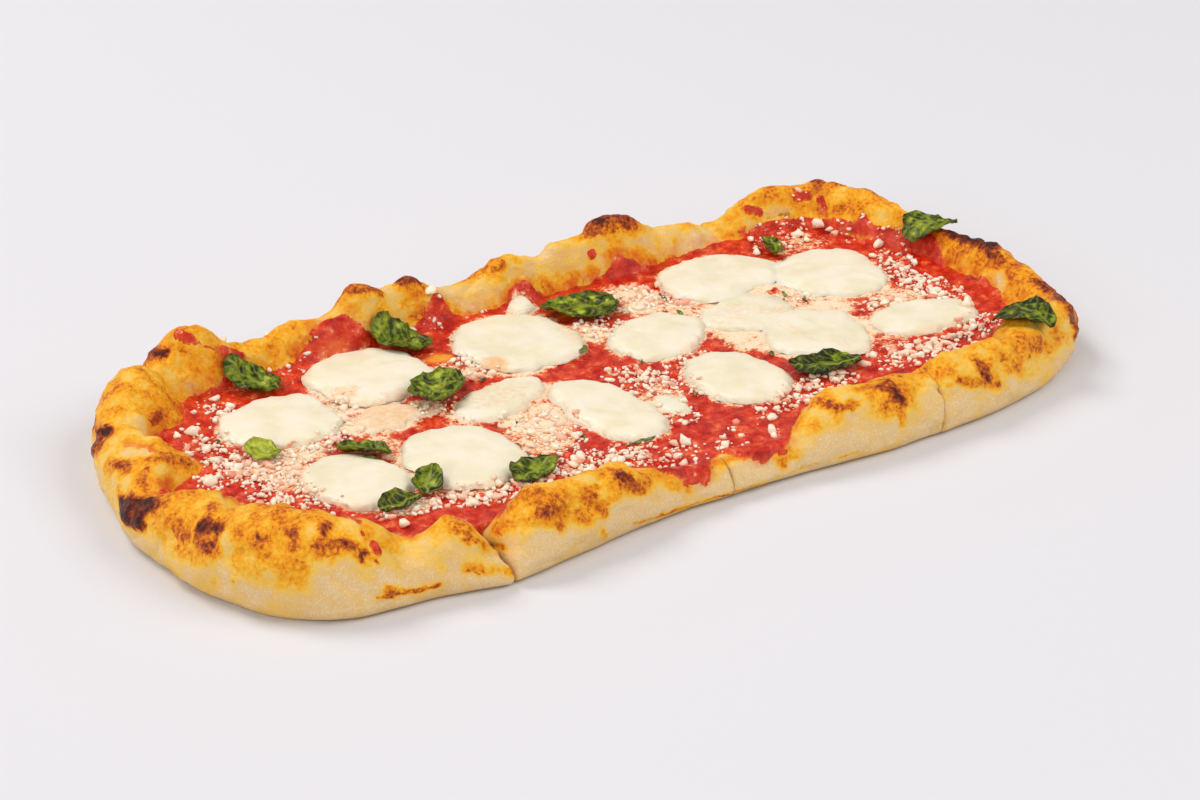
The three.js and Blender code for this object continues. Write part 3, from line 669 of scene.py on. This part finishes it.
def tomato_sauce():
    """Crushed tomato cooked on the dough: wet red pulp, orange where oily, veiled by melted cheese."""
    material, tree, shader, place = new_material("Tomato_pulp_cooked")
    melt = put(tree, "Attribute", attribute_name="melt").outputs["Fac"]
    thin = put(tree, "Attribute", attribute_name="thin").outputs["Fac"]
    # Lumps of pulp of about 4 mm, then seeds and shreds of about 1 mm
    pulp = put(
        tree, "TexNoise", {"Vector": place, "Scale": scale_for(10 / 2.4), "Detail": 4, "Roughness": 0.6}
    ).outputs["Fac"]
    shreds = put(
        tree, "TexNoise", {"Vector": place, "Scale": scale_for(10 / 9), "Detail": 3, "Roughness": 0.6}
    ).outputs["Fac"]
    ramp = put(tree, "ValToRGB", {"Fac": pulp})
    stops(ramp, [(0.3, "#960c02"), (0.43, "#c01c08"), (0.55, "#d83a18"), (0.7, "#ec6a3c")])
    oil = put(tree, "ValToRGB", {"Fac": thin})
    stops(oil, [(0.4, "#dc5014"), (0.75, "#e87818"), (1.0, "#f0a030")])
    oily = put(
        tree, "Mix", {"Factor": thin, 6: ramp.outputs["Color"], 7: oil.outputs["Color"]}, data_type="RGBA"
    ).outputs[2]
    shred = put(tree, "Math", {0: shreds, 1: 0.5}, operation="SUBTRACT").outputs[0]
    lump = put(tree, "Math", {0: pulp, 1: 0.5}, operation="SUBTRACT").outputs[0]
    wave = put(tree, "Math", {0: lump, 1: 1.2, 2: shred}, operation="MULTIPLY_ADD").outputs[0]
    veil = put(tree, "Math", {0: wave, 1: 1.7, 2: melt}, operation="MULTIPLY_ADD").outputs[0]
    cheese = put(tree, "ValToRGB", {"Fac": veil})
    stops(cheese, [(0.25, "#dc4a24"), (0.45, "#e88258"), (0.65, "#f2bd90"), (0.9, "#f8e0c0")])
    share = put(tree, "MapRange", {"Value": veil, "From Min": 0.22, "From Max": 0.55}).outputs["Result"]
    colour = put(
        tree, "Mix", {"Factor": share, 6: oily, 7: cheese.outputs["Color"]}, data_type="RGBA"
    ).outputs[2]
    rough = put(
        tree, "MapRange", {"Value": veil, "From Min": 0.3, "From Max": 0.8, "To Min": 0.1, "To Max": 0.4}
    ).outputs["Result"]
    bump = put(tree, "Bump", {"Height": shreds, "Strength": 0.8, "Distance": 0.7 * MM})
    tree.links.new(colour, shader.inputs["Base Color"])
    tree.links.new(rough, shader.inputs["Roughness"])
    tree.links.new(bump.outputs["Normal"], shader.inputs["Normal"])
    shader.inputs["Subsurface Weight"].default_value = 0.15
    shader.inputs["Subsurface Radius"].default_value = (1, 0.25, 0.15)
    shader.inputs["Subsurface Scale"].default_value = 2 * MM
    shader.inputs["Specular IOR Level"].default_value = 0.3
    return material


def melted_mozzarella():
    """Fresh mozzarella melted in the oven: ivory and satin, tinted peach by oil at its thin edges."""
    material, tree, shader, place = new_material("Mozzarella_melted")
    edge = put(tree, "Attribute", attribute_name="edge").outputs["Fac"]
    stain = put(tree, "Attribute", attribute_name="stain").outputs["Fac"]
    # Folds of the curd of about 9 mm, and waves of about 2 mm that break up its tints
    folds = put(tree, "TexNoise", {"Vector": place, "Scale": scale_for(10 / 1.1), "Detail": 3}).outputs["Fac"]
    fine = put(tree, "TexNoise", {"Vector": place, "Scale": scale_for(10 / 5.2), "Detail": 3}).outputs["Fac"]
    ramp = put(tree, "ValToRGB", {"Fac": folds})
    stops(ramp, [(0.35, "#e8dfc0"), (0.5, "#eee5cc"), (0.65, "#f2e9d6")])
    wave = put(tree, "Math", {0: fine, 1: 0.5}, operation="SUBTRACT").outputs[0]
    blush = put(tree, "Math", {0: wave, 1: 0.9, 2: edge}, operation="MULTIPLY_ADD").outputs[0]
    blushed = put(tree, "MapRange", {"Value": blush, "From Min": 0.7, "From Max": 1.6}).outputs["Result"]
    rim = put(
        tree, "Mix", {"Factor": blushed, 6: ramp.outputs["Color"], 7: linear("#f0c2a0")}, data_type="RGBA"
    ).outputs[2]
    oil = put(tree, "Math", {0: wave, 1: 1.3, 2: stain}, operation="MULTIPLY_ADD").outputs[0]
    oiled = put(
        tree, "MapRange", {"Value": oil, "From Min": 0.2, "From Max": 1.1, "To Max": 0.85}
    ).outputs["Result"]
    colour = put(
        tree, "Mix", {"Factor": oiled, 6: rim, 7: linear("#f0b070")}, data_type="RGBA"
    ).outputs[2]
    bump = put(tree, "Bump", {"Height": fine, "Strength": 0.15, "Distance": 0.3 * MM})
    tree.links.new(colour, shader.inputs["Base Color"])
    tree.links.new(bump.outputs["Normal"], shader.inputs["Normal"])
    shader.inputs["Roughness"].default_value = 0.38
    shader.inputs["Subsurface Weight"].default_value = 0.35
    shader.inputs["Subsurface Radius"].default_value = (1, 0.8, 0.5)
    shader.inputs["Subsurface Scale"].default_value = 3 * MM
    shader.inputs["IOR"].default_value = 1.44
    return material


def wilted_basil():
    """Basil leaf wilted by heat: dark and oily, with bright patches, paler along its veins."""
    material, tree, shader, place = new_material("Basil_leaf_wilted")
    vein = put(tree, "Attribute", attribute_name="vein").outputs["Fac"]
    fresh = put(tree, "Attribute", attribute_name="fresh").outputs["Fac"]
    scorch = put(tree, "Attribute", attribute_name="scorch").outputs["Fac"]
    # Blotches of about 4 mm and wrinkles of about 1 mm
    blotches = put(
        tree, "TexNoise", {"Vector": place, "Scale": scale_for(10 / 2.6), "Detail": 3, "Roughness": 0.6}
    ).outputs["Fac"]
    wrinkles = put(
        tree, "TexNoise", {"Vector": place, "Scale": scale_for(10 / 9), "Detail": 3, "Roughness": 0.6}
    ).outputs["Fac"]
    # Each leaf's green is shifted brighter or darker than most by a value given for that leaf
    green = put(tree, "Math", {0: blotches, 1: fresh}, operation="ADD").outputs[0]
    ramp = put(tree, "ValToRGB", {"Fac": green})
    stops(ramp, [(0.36, "#181e00"), (0.46, "#343f02"), (0.56, "#6c7e08"), (0.7, "#b8c040")])
    veined = put(
        tree, "Mix", {"Factor": vein, 6: ramp.outputs["Color"], 7: linear("#8a9630")}, data_type="RGBA"
    ).outputs[2]
    wave = put(tree, "Math", {0: blotches, 1: 0.5}, operation="SUBTRACT").outputs[0]
    burn = put(tree, "Math", {0: wave, 1: 1.5, 2: scorch}, operation="MULTIPLY_ADD").outputs[0]
    burnt = put(tree, "MapRange", {"Value": burn, "From Min": 0.75, "From Max": 1.4}).outputs["Result"]
    colour = put(
        tree, "Mix", {"Factor": burnt, 6: veined, 7: linear("#161604")}, data_type="RGBA"
    ).outputs[2]
    bump = put(tree, "Bump", {"Height": wrinkles, "Strength": 0.7, "Distance": 0.5 * MM})
    tree.links.new(colour, shader.inputs["Base Color"])
    tree.links.new(bump.outputs["Normal"], shader.inputs["Normal"])
    shader.inputs["Roughness"].default_value = 0.34
    shader.inputs["Specular IOR Level"].default_value = 0.22
    return material


def grated_cheese():
    """Hard cheese grated and half melted: dry off-white crumbs, some of them pink with sauce."""
    material, tree, shader, place = new_material("Hard_cheese_grated")
    tint = put(tree, "Attribute", attribute_name="tint").outputs["Fac"]
    ramp = put(tree, "ValToRGB", {"Fac": tint})
    stops(ramp, [(0.0, "#fff2de"), (0.45, "#fee2ca"), (0.8, "#f9c8ac"), (1.0, "#f0967a")])
    rough = put(tree, "TexNoise", {"Vector": place, "Scale": scale_for(10 / 15), "Detail": 3}).outputs["Fac"]
    bump = put(tree, "Bump", {"Height": rough, "Strength": 0.4, "Distance": 0.3 * MM})
    tree.links.new(ramp.outputs["Color"], shader.inputs["Base Color"])
    tree.links.new(bump.outputs["Normal"], shader.inputs["Normal"])
    shader.inputs["Roughness"].default_value = 0.5
    shader.inputs["Subsurface Weight"].default_value = 0.4
    shader.inputs["Subsurface Radius"].default_value = (1, 0.8, 0.6)
    shader.inputs["Subsurface Scale"].default_value = 0.8 * MM
    return material


def dried_herbs():
    """Scraps of leaf and stalk: dull olive green."""
    material, tree, shader, place = new_material("Herb_scraps_cooked")
    tone = put(tree, "TexNoise", {"Vector": place, "Scale": scale_for(10 / 3.5), "Detail": 2}).outputs["Fac"]
    ramp = put(tree, "ValToRGB", {"Fac": tone})
    stops(ramp, [(0.35, "#1d2a10"), (0.5, "#46581c"), (0.65, "#7d8a34")])
    tree.links.new(ramp.outputs["Color"], shader.inputs["Base Color"])
    shader.inputs["Roughness"].default_value = 0.45
    return material


def close_flat(bm, step):
    """Closes the open bottom of a bmesh at height 0 with square cells of that many millimetres."""
    loop = [e for e in bm.edges if e.is_boundary]
    for edge in loop:
        for v in edge.verts:
            v.co.z = 0
    cells = bmesh.ops.holes_fill(bm, edges=loop, sides=0)["faces"]
    for axis in (0, 1):
        places = [v.co[axis] for face in cells for v in face.verts]
        across = Vector((1 - axis, axis, 0))
        for place in np.arange(min(places), max(places), step * MM)[1:]:
            parts = {part for face in cells for part in (face, *face.edges, *face.verts)}
            at = across * float(place)
            cut = bmesh.ops.bisect_plane(bm, geom=list(parts), plane_co=at, plane_no=across)
            cells = [part for part in cut["geom"] if isinstance(part, bmesh.types.BMFace)]
    bmesh.ops.recalc_face_normals(bm, faces=bm.faces)


def dough_shape():
    """The CAD dough rounded off, with blisters and creases: its bmesh and how dark each point is, from baking,
    with painted highlights and painted shade.
    """
    bm = merged("crust")
    bottom = [f for f in bm.faces if max(v.co.z for v in f.verts) < 0.1 * MM]
    bmesh.ops.delete(bm, geom=bottom, context="FACES")
    bm = rounded(bm, 2, CRISP)
    close_flat(bm, UNDERSIDE_CELL)
    points = spots(bm)
    surface = BVHTree.FromBMesh(bm)
    near = reach(points, settled(surface, TOAST_AND_FOOT_SHADE))
    strengths = np.array([0.42 + 0.8 * (mark[7] - 0.42) for mark in TOAST_AND_FOOT_SHADE])[:, None]
    ragged = 0.5 * grain(points, 3.2, 4) + 0.35 * grain(points, 1.4, 9)
    cover = 1 - smoothstep(0.45, 1.45, near + ragged)
    bubbling = (cover * strengths).max(0)
    height = points[:, 2]
    steady = smoothstep(0.4, 4, height)
    # Waves, round bubbles, creases, blisters under the toast, and the highest puffs
    lumps = (
        0.8 * grain(points, 9, 1)
        + 0.5 * grain(points, 4.5, 2)
        + 0.28 * grain(points, 2.2, 3)
        + 1.3 * blisters(points, 11, 5, 0.5)
        + 0.8 * blisters(points, 5.5, 8, 0.45)
        - 0.9 * (1 - smoothstep(0, 0.14, np.abs(grain(points, 14, 6))))
        + 0.7 * smoothstep(0.5, 0.9, bubbling)
        + 0.9 * smoothstep(24, 29, height)
    )
    push(bm, steady * (0.55 + 0.45 * smoothstep(6, 14, height)) * lumps)
    for v in bm.verts:
        v.co.z = max(v.co.z, 0)
    bm.normal_update()
    up = np.array([v.normal.z for v in bm.verts])
    # Darker where it faces up and lies high, with patches, halos round the toast and the painted foot shade,
    # and what stayed pale
    bake = 0.1 + 0.33 * smoothstep(-0.25, 0.5, up) * smoothstep(5, 15, height + 4 * grain(points, 10, 10))
    # Patches of about 15 and 5 mm: the paler ones partly paint highlights onto the dough, partly show uneven
    # baking
    bake += 0.2 * grain(points, 15, 11) + 0.22 * grain(points, 5, 12)
    halo = ((1 - smoothstep(0.9, 2.8, near)) * np.clip(strengths - 0.3, 0, 1)).max(0)
    pale = (1 - smoothstep(0.5, 1.9, reach(points, settled(surface, PALE)))).max(0)
    bake = np.clip(bake + 0.22 * halo - 0.24 * pale, 0.02, 0.55)
    under = smoothstep(1.5, 0.2, height)
    bottom = 0.24 + 0.2 * grain(points, 9, 20) + 0.1 * grain(points, 3, 21)
    bake = bake * (1 - under) + under * bottom
    # Toast marks, and the painted shade along the foot, darken the dough up to their strength
    for row, strength in zip(cover, strengths[:, 0]):
        bake = np.where(strength > bake, bake + (strength - bake) * row, bake)
    return bm, bake


class Field:
    """Square cells over the whole dough, for what depends on a place seen from above."""

    def __init__(self, step):
        low, high = (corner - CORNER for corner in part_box("crust"))
        self.low = np.array([low.x, low.y]) / MM
        self.high = np.array([high.x, high.y]) / MM
        self.count = np.rint((self.high - self.low) / step).astype(int)
        self.step = (self.high - self.low) / self.count
        self.shape = (self.count[1] + 1, self.count[0] + 1)

    def sheet(self):
        """A flat grid with a point for each cell corner."""
        bm = bmesh.new()
        bmesh.ops.create_grid(bm, x_segments=int(self.count[0]), y_segments=int(self.count[1]), size=0.5)
        size = (self.high - self.low) * MM
        middle = CORNER + Vector((*((self.high + self.low) / 2 * MM), 0))
        bmesh.ops.scale(bm, vec=(*size, 1), verts=bm.verts)
        bmesh.ops.translate(bm, vec=middle, verts=bm.verts)
        return bm

    def of(self, points):
        """Row and column of the nearest cell corner of each point."""
        cells = np.rint((points[:, :2] - self.low) / self.step).astype(int)
        cells = np.clip(cells, 0, self.count)
        return cells[:, 1], cells[:, 0]

    def grid(self, points, values):
        """A field with the value of each point, and 0 elsewhere."""
        field = np.zeros(self.shape)
        field[self.of(points)] = values
        return field

    def spread(self, field, size):
        """A field blurred over that many millimetres."""
        for _ in range(round(3 * (size / self.step[0]) ** 2)):
            around = sum(np.roll(field, shift, axis) for shift in (1, -1) for axis in (0, 1))
            field = (around + 2 * field) / 6
        return field


def heights(tree, points):
    """Heights in millimetres of a surface at each place, and 0 beside it."""
    found = []
    for x, y, _ in points:
        hit = tree.ray_cast(CORNER + Vector((x, y, ABOVE)) * MM, DOWN)[0]
        found.append(0 if hit is None else hit.z / MM)
    return np.array(found)


def cheese_shape(node, field, inner):
    """One pad of mozzarella that thins out to its uneven outline, with melted folds."""
    bm = rounded(merged(node), 3)
    points = spots(bm)
    core = inner[field.of(points)]
    bottom = points[:, 2].min()
    full = smoothstep(0.4, 0.95, core)
    folds = 0.35 * grain(points, 8, 31) + 0.2 * grain(points, 3.5, 32)
    middle = points.mean(0)
    for v, p, share, fold in zip(bm.verts, points, full, folds):
        slide = drift(p, 9) * 2 + drift(p, 3.5) * 1.2
        out = (p - middle)[:2] / max(1, np.hypot(*(p - middle)[:2])) * WIDER * PAD_TIMES
        rise = float((p[2] - bottom) * PAD_HEIGHT * share + (fold if p[2] > bottom + 0.4 else 0))
        z = bottom - PAD_SUNK + PAD_RISE * share + rise
        v.co = CORNER + Vector((p[0] + out[0] + slide.x, p[1] + out[1] + slide.y, z)) * MM
    return bm


def leaf_shape(node):
    """One basil leaf with its veins: its bmesh and how near each point is to a vein and to the rim."""
    bm = rounded(merged(node), 3)
    points = spots(bm)
    flat = points[:, :2] - points[:, :2].mean(0)
    _, axes = np.linalg.eigh(flat.T @ flat)
    along, across = flat @ axes[:, 1], flat @ axes[:, 0]
    long, wide = np.abs(along).max(), np.abs(across).max()
    spacing = max(1.6, long / 4.5)
    phase = (along - 0.8 * np.abs(across)) / spacing
    branch = np.abs(phase - np.rint(phase)) * spacing
    midrib = 1 - smoothstep(0.15, 0.45, np.abs(across))
    veins = np.maximum(midrib, 0.6 * (1 - smoothstep(0.08, 0.3, branch)))
    rim = smoothstep(0.55, 1, np.hypot(along / long, across / wide))
    folds = (1 - np.abs(grain(points, 5, 40))) ** 4
    wrinkles = 1.1 * folds + 0.7 * grain(points, 3.6, 41) + 0.35 * grain(points, 1.6, 42) - 0.2 * veins
    out = flat / np.maximum(1, np.hypot(flat[:, 0], flat[:, 1]))[:, None] * WIDER
    for v, p, shift, wrinkle in zip(bm.verts, points, out, wrinkles):
        tear = drift(p, 3.4) * 1.3 + drift(p, 8) * 1.2
        v.co += Vector((tear.x + shift[0], tear.y + shift[1], float(wrinkle))) * MM
    return bm, veins, rim


def closed_below(bm, gone):
    """Takes faces away from a skin of sauce, and closes the rest with walls and a floor in the dough."""
    bmesh.ops.delete(bm, geom=gone, context="FACES")
    edges = [e for e in bm.edges if e.is_boundary]
    for part in bmesh.ops.extrude_edge_only(bm, edges=edges)["geom"]:
        if isinstance(part, bmesh.types.BMVert):
            part.co.z = min(part.co.z - 0.5 * MM, SAUCE_BED * MM)
    bmesh.ops.holes_fill(bm, edges=[e for e in bm.edges if e.is_boundary], sides=0)
    bmesh.ops.recalc_face_normals(bm, faces=bm.faces)


def sauce_shape(field, dough, covered, padded):
    """A skin of sauce: level on the base, a film on the rim that ends raggedly, and splashes on the rim.

    Its points carry how much melted cheese veils them and how thin and oily the sauce is.
    """
    bm = field.sheet()
    places = spots(bm)
    floor = heights(dough, places)
    cells = field.of(places)
    # How well the CAD sauce covers each place, and how near it is to a pad
    share = field.spread(covered, 1.8)[cells]
    beside = field.spread(padded, 2.8)[cells]
    ragged = 0.13 * grain(places, 5, 51) + 0.09 * grain(places, 2, 52)
    film = FILM_SUNK + (FILM - FILM_SUNK) * smoothstep(0.25, 0.75, share + ragged)
    on_rim = np.column_stack([places[:, :2], floor])
    thickness = np.array([mark[7] for mark in SPLASHES])[:, None]
    splash = 1 - smoothstep(0.5, 1.25, reach(on_rim, settled(dough, SPLASHES)) + 1.2 * ragged)
    film = np.maximum(film, (FILM_SUNK + splash * (thickness - FILM_SUNK)).max(0))
    melt = np.maximum(inside(places, MELT, 0.35), 0.85 * smoothstep(0.1, 0.5, beside))
    pulp = 0.55 * grain(places, 4.2, 61) + 0.4 * grain(places, 2, 62) + 0.6 * blisters(places, 4, 63, 0.5)
    level = LEVEL + (1 - 0.35 * melt) * pulp + 0.15 * smoothstep(0.1, 0.6, beside) + 0.2 * melt
    # A film follows the dough, and the pool takes over softly where it stands higher
    skin = floor + film * (1 + 0.35 * pulp)
    blend = np.clip(0.5 + 0.5 * (level - skin) / SOFT, 0, 1)
    pooled = skin + (level - skin) * blend + SOFT * blend * (1 - blend)
    top = skin + (pooled - skin) * smoothstep(7, 8.2, floor) * (share + ragged > 0.3)
    for v, z in zip(bm.verts, top):
        v.co.z = float(z) * MM
    bm.verts.index_update()
    kept = film > FILM_SUNK + 0.05
    solid = floor > LOWEST_DOUGH
    # Faces that lie wholly inside the dough go, and so do those that hang over its edge or a cut
    gone = []
    for face in bm.faces:
        corners = [v.index for v in face.verts]
        if not kept[corners].any() or not solid[corners].all():
            gone.append(face)
    oil = inside(places, OIL, 0.5)
    thin = np.maximum(1 - smoothstep(0.1, 0.9, top - floor), oil)
    melt *= 1 - oil
    tags = bm.verts.layers.float.new("melt"), bm.verts.layers.float.new("thin")
    for v, m, t in zip(bm.verts, melt, thin):
        v[tags[0]], v[tags[1]] = float(m), float(t)
    closed_below(bm, gone)
    return bm


def crumb(bm, place, size, detail, long):
    """Adds one crumb of grated cheese to a bmesh. Its longest way lies nearly flat and turns at random."""
    turn = Matrix.Rotation(random.uniform(0, math.tau), 4, "Z")
    tilt = Matrix.Rotation(random.uniform(-0.5, 0.5), 4, "Y")
    form = Matrix.Diagonal((long, random.uniform(0.7, 1), random.uniform(0.6, 0.8), 1))
    at = Matrix.Translation(CORNER + Vector(place) * MM) @ (turn @ tilt) @ form
    made = bmesh.ops.create_icosphere(bm, subdivisions=detail, radius=size / 2 * MM, matrix=at)
    for v in made["verts"]:
        v.co += drift(v.co, 0.4 * size * MM) * 0.26 * size * MM
    return made["verts"]


def crumbs_shape(ground, dough, field, inner):
    """All the grated cheese, one scatter after another: its bmesh, with a tint for each crumb.

    Nearly all crumbs lie where sauce covers the dough, and few on the pads of mozzarella.
    """
    scatters = [[(x, y, size, 2, random.uniform(1, 1.3), 0.2) for x, y, size in LUMPS]]
    for x, y, long, wide, count in SCATTERS:
        crumbs = []
        # Large ones come first. All thin out to a third beyond the scatter, and one in seven is a shred
        for index in range(2 * count):
            turn, far = random.uniform(0, math.tau), 1.35 * random.random() ** 0.6
            size = 1.1 + min(random.expovariate(1.6), 2) if index < count else random.uniform(0.5, 1.1)
            stretch = random.uniform(1, 1.5) if random.random() < 0.85 else random.uniform(1.6, 2.2)
            place = x + long * far * math.cos(turn), y + wide * far * math.sin(turn)
            crumbs.append((*place, size, 1, stretch, random.uniform(0, 1) ** 1.6))
        scatters.append(crumbs)
    shapes = []
    for crumbs in scatters:
        bm = bmesh.new()
        tint = bm.verts.layers.float.new("tint")
        for x, y, size, detail, stretch, colour in crumbs:
            deep = inner[field.of(np.array([[x, y, 0]]))][0]
            z = heights(ground, [(x, y, 0)])[0]
            covered = z > heights(dough, [(x, y, 0)])[0] + 0.1
            held = z > LOWEST_CRUMB and (covered or random.random() < ON_DOUGH)
            if detail > 1 or held and random.random() < 1 + ON_PADS - smoothstep(0.25, 0.9, deep):
                for v in crumb(bm, (x, y, z + 0.2 * size), size, detail, stretch):
                    v[tint] = colour
        shapes.append(bm)
    return joined(shapes)


def herbs_shape(ground):
    """All the scraps and stalks of herbs, thin and unevenly bent, each set at the height of what lies under its
    middle.
    """
    bm = bmesh.new()
    for x, y, long, wide, turn in HERBS:
        z = heights(ground, [(x, y, 0)])[0] + 0.25
        at = Matrix.Translation(CORNER + Vector((x, y, z)) * MM)
        turned = Matrix.Rotation(math.radians(turn), 4, "Z")
        form = Matrix.Diagonal((long / 2 * MM, wide / 2 * MM, 0.35 * MM, 1))
        made = bmesh.ops.create_icosphere(bm, subdivisions=2, radius=1, matrix=at @ turned @ form)
        for v in made["verts"]:
            v.co += drift(v.co, 3 * MM) * 0.5 * MM
    return bm


def pizza():
    """All pieces of the pizza. Crumbs and scraps lie on what dough, sauce and pads make up together."""
    dough_bm, bake = dough_shape()
    dough = BVHTree.FromBMesh(dough_bm)
    field = Field(GRID_STEP)
    sheet = field.sheet()
    places = spots(sheet)
    sheet.free()
    covered = field.grid(places, heights(BVHTree.FromBMesh(merged("sauce")), places) > 0)
    solids = joined([merged(node) for node in MOZZARELLA])
    padded = field.grid(places, heights(BVHTree.FromBMesh(solids), places) > 0)
    inner = field.spread(padded, 2.2)
    pads = {node: cheese_shape(node, field, inner) for node in MOZZARELLA}
    sauce_bm = sauce_shape(field, dough, covered, padded)
    ground = BVHTree.FromBMesh(joined([sauce_bm, dough_bm, *pads.values()]))

    points = spots(dough_bm)
    beside_sauce = field.spread(covered, 3)[field.of(points)]
    smear = 0.6 * smoothstep(0.05, 0.6, beside_sauce) * smoothstep(6, 9, points[:, 2])
    piece(dough_bm, "dough", baked_dough(), ["crust"], "crust", bake=bake, smear=smear)
    crumbs_bm = crumbs_shape(ground, dough, field, inner)
    herbs_bm = herbs_shape(ground)
    piece(sauce_bm, "tomato_sauce", tomato_sauce(), ["sauce"], "sauce")

    mozzarella = melted_mozzarella()
    for node, bm in pads.items():
        name = node.replace("mozzarella", "cheese")
        points = spots(bm)
        edge = 1 - smoothstep(0.5, 0.95, inner[field.of(points)])
        stain = inside(points, STAINS, 0.4)
        piece(bm, name, mozzarella, [node], "mozzarella", edge=edge, stain=stain)

    basil = wilted_basil()
    for node in BASIL:
        name = node.replace("basil", "leaf")
        bm, veins, rim = leaf_shape(node)
        fresh = np.full(len(veins), LEAF_BRIGHTNESS.get(node, 0.0))
        piece(bm, name, basil, [node], "basil", vein=veins, scorch=rim, fresh=fresh)

    piece(crumbs_bm, "grated_cheese", grated_cheese(), [], "mozzarella")
    piece(herbs_bm, "herb_scraps", dried_herbs(), [], "basil")


def light(name, place, aim, size, power, colour):
    """Adds a square soft box that faces a point."""
    lamp = bpy.data.lights.new(name, "AREA")
    lamp.shape = "SQUARE"
    lamp.size = size
    lamp.energy = power
    lamp.color = linear(colour)[:3]
    made = bpy.data.objects.new(name, lamp)
    made.location = place
    made.rotation_euler = (Vector(aim) - Vector(place)).to_track_quat("-Z", "Y").to_euler()
    bpy.context.scene.collection.objects.link(made)


def studio():
    """Pale floor, soft boxes and the photograph's camera."""
    bm = bmesh.new()
    bmesh.ops.create_grid(bm, x_segments=1, y_segments=1, size=3)
    mesh = bpy.data.meshes.new("floor")
    bm.to_mesh(mesh)
    bm.free()
    floor = bpy.data.objects.new("floor", mesh)
    bpy.context.scene.collection.objects.link(floor)
    material, _, shader, _ = new_material("Paper_backdrop_matt")
    shader.inputs["Base Color"].default_value = linear("#dcdde4")
    shader.inputs["Roughness"].default_value = 0.9
    mesh.materials.append(material)
    floor.location.z = -0.1 * MM
    light("key", (-0.8, 1.5, 2.2), (0, 0, 0), 1.2, 40, "#fff8f0")
    light("fill", (1.5, -1.6, 2), (0, 0, 0), 2, 43, "#fffaf2")
    light("side", (-2.3, -0.9, 1.4), (0, 0, 0), 1.6, 26, "#fffaf4")
    world = bpy.data.worlds.new("studio")
    world.use_nodes = True
    background = world.node_tree.nodes["Background"]
    background.inputs["Color"].default_value = linear("#f4f3f6")
    background.inputs["Strength"].default_value = 0.4
    bpy.context.scene.world = world
    camera = bpy.data.cameras.new("camera")
    camera.lens = CAMERA_LENS
    camera.sensor_width = 36
    holder = bpy.data.objects.new("camera", camera)
    holder.location = CAMERA_PLACE
    holder.rotation_euler = Vector(CAMERA_FORWARD).to_track_quat("-Z", "Y").to_euler()
    bpy.context.scene.collection.objects.link(holder)
    bpy.context.scene.camera = holder
    bpy.context.scene.view_settings.view_transform = "Standard"


random.seed(7)
pizza()
studio()
